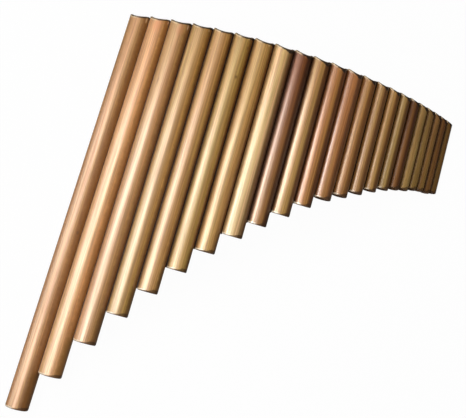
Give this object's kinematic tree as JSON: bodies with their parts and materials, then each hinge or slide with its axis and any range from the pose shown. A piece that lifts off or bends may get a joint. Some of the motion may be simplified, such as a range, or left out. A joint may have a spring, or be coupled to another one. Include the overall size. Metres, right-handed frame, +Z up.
{
  "type": "pan flute",
  "caption": "Curved pan flute of bamboo pipes glued side by side on an arc, with bevelled mouths in one plane, stepped feet and a sliding cork stopper in each bore.",
  "frame": {"origin": "under the middle of the flute's box, on the surface that the flute lies on with its bulging side up", "axes": "+X across the row toward the shortest pipe, +Y along the pipes toward their mouths, +Z up out of the bulging side"},
  "size_m": [0.2894, 0.3202, 0.0555],
  "materials": {
    "bamboo_tan": "clear gloss lacquer over fine lengthwise cane grain",
    "bamboo_orange": "clear gloss lacquer over fine lengthwise cane grain",
    "bamboo_rose": "clear gloss lacquer over fine lengthwise cane grain",
    "bamboo_olive": "clear gloss lacquer over fine lengthwise cane grain",
    "bamboo_gold": "clear gloss lacquer over fine lengthwise cane grain",
    "bamboo_pale": "clear gloss lacquer over fine lengthwise cane grain",
    "bamboo_umber": "clear gloss lacquer over fine lengthwise cane grain",
    "bamboo_brown": "clear gloss lacquer over fine lengthwise cane grain",
    "cork": "bare cork, matt"
  },
  "bodies": {
    "pipe_row": {"pipe_01": "bamboo_tan", "pipe_02": "bamboo_orange", "pipe_03": "bamboo_rose", "pipe_04": "bamboo_olive", "pipe_05": "bamboo_tan", "pipe_06": "bamboo_gold", "pipe_07": "bamboo_tan", "pipe_08": "bamboo_pale", "pipe_09": "bamboo_umber", "pipe_10": "bamboo_gold", "pipe_11": "bamboo_gold", "pipe_12": "bamboo_rose", "pipe_13": "bamboo_brown", "pipe_14": "bamboo_olive", "pipe_15": "bamboo_orange", "pipe_16": "bamboo_olive", "pipe_17": "bamboo_umber", "pipe_18": "bamboo_olive", "pipe_19": "bamboo_brown", "pipe_20": "bamboo_brown", "pipe_21": "bamboo_brown", "pipe_22": "bamboo_brown"},
    "stopper_01": {"stopper_01": "cork"},
    "stopper_02": {"stopper_02": "cork"},
    "stopper_03": {"stopper_03": "cork"},
    "stopper_04": {"stopper_04": "cork"},
    "stopper_05": {"stopper_05": "cork"},
    "stopper_06": {"stopper_06": "cork"},
    "stopper_07": {"stopper_07": "cork"},
    "stopper_08": {"stopper_08": "cork"},
    "stopper_09": {"stopper_09": "cork"},
    "stopper_10": {"stopper_10": "cork"},
    "stopper_11": {"stopper_11": "cork"},
    "stopper_12": {"stopper_12": "cork"},
    "stopper_13": {"stopper_13": "cork"},
    "stopper_14": {"stopper_14": "cork"},
    "stopper_15": {"stopper_15": "cork"},
    "stopper_16": {"stopper_16": "cork"},
    "stopper_17": {"stopper_17": "cork"},
    "stopper_18": {"stopper_18": "cork"},
    "stopper_19": {"stopper_19": "cork"},
    "stopper_20": {"stopper_20": "cork"},
    "stopper_21": {"stopper_21": "cork"},
    "stopper_22": {"stopper_22": "cork"}
  },
  "joints": [
    {"name": "stopper_01_slide", "type": "slide", "parent": "pipe_row", "child": "stopper_01", "axis": [0, 1, 0], "range_m": [-0.002, 0.002]},
    {"name": "stopper_02_slide", "type": "slide", "parent": "pipe_row", "child": "stopper_02", "axis": [0, 1, 0], "range_m": [-0.002, 0.002]},
    {"name": "stopper_03_slide", "type": "slide", "parent": "pipe_row", "child": "stopper_03", "axis": [0, 1, 0], "range_m": [-0.002, 0.002]},
    {"name": "stopper_04_slide", "type": "slide", "parent": "pipe_row", "child": "stopper_04", "axis": [0, 1, 0], "range_m": [-0.002, 0.002]},
    {"name": "stopper_05_slide", "type": "slide", "parent": "pipe_row", "child": "stopper_05", "axis": [0, 1, 0], "range_m": [-0.002, 0.002]},
    {"name": "stopper_06_slide", "type": "slide", "parent": "pipe_row", "child": "stopper_06", "axis": [0, 1, 0], "range_m": [-0.002, 0.002]},
    {"name": "stopper_07_slide", "type": "slide", "parent": "pipe_row", "child": "stopper_07", "axis": [0, 1, 0], "range_m": [-0.002, 0.002]},
    {"name": "stopper_08_slide", "type": "slide", "parent": "pipe_row", "child": "stopper_08", "axis": [0, 1, 0], "range_m": [-0.002, 0.002]},
    {"name": "stopper_09_slide", "type": "slide", "parent": "pipe_row", "child": "stopper_09", "axis": [0, 1, 0], "range_m": [-0.002, 0.002]},
    {"name": "stopper_10_slide", "type": "slide", "parent": "pipe_row", "child": "stopper_10", "axis": [0, 1, 0], "range_m": [-0.002, 0.002]},
    {"name": "stopper_11_slide", "type": "slide", "parent": "pipe_row", "child": "stopper_11", "axis": [0, 1, 0], "range_m": [-0.002, 0.002]},
    {"name": "stopper_12_slide", "type": "slide", "parent": "pipe_row", "child": "stopper_12", "axis": [0, 1, 0], "range_m": [-0.002, 0.002]},
    {"name": "stopper_13_slide", "type": "slide", "parent": "pipe_row", "child": "stopper_13", "axis": [0, 1, 0], "range_m": [-0.002, 0.002]},
    {"name": "stopper_14_slide", "type": "slide", "parent": "pipe_row", "child": "stopper_14", "axis": [0, 1, 0], "range_m": [-0.002, 0.002]},
    {"name": "stopper_15_slide", "type": "slide", "parent": "pipe_row", "child": "stopper_15", "axis": [0, 1, 0], "range_m": [-0.002, 0.002]},
    {"name": "stopper_16_slide", "type": "slide", "parent": "pipe_row", "child": "stopper_16", "axis": [0, 1, 0], "range_m": [-0.002, 0.002]},
    {"name": "stopper_17_slide", "type": "slide", "parent": "pipe_row", "child": "stopper_17", "axis": [0, 1, 0], "range_m": [-0.002, 0.002]},
    {"name": "stopper_18_slide", "type": "slide", "parent": "pipe_row", "child": "stopper_18", "axis": [0, 1, 0], "range_m": [-0.002, 0.002]},
    {"name": "stopper_19_slide", "type": "slide", "parent": "pipe_row", "child": "stopper_19", "axis": [0, 1, 0], "range_m": [-0.002, 0.002]},
    {"name": "stopper_20_slide", "type": "slide", "parent": "pipe_row", "child": "stopper_20", "axis": [0, 1, 0], "range_m": [-0.002, 0.002]},
    {"name": "stopper_21_slide", "type": "slide", "parent": "pipe_row", "child": "stopper_21", "axis": [0, 1, 0], "range_m": [-0.002, 0.002]},
    {"name": "stopper_22_slide", "type": "slide", "parent": "pipe_row", "child": "stopper_22", "axis": [0, 1, 0], "range_m": [-0.002, 0.002]}
  ]
}
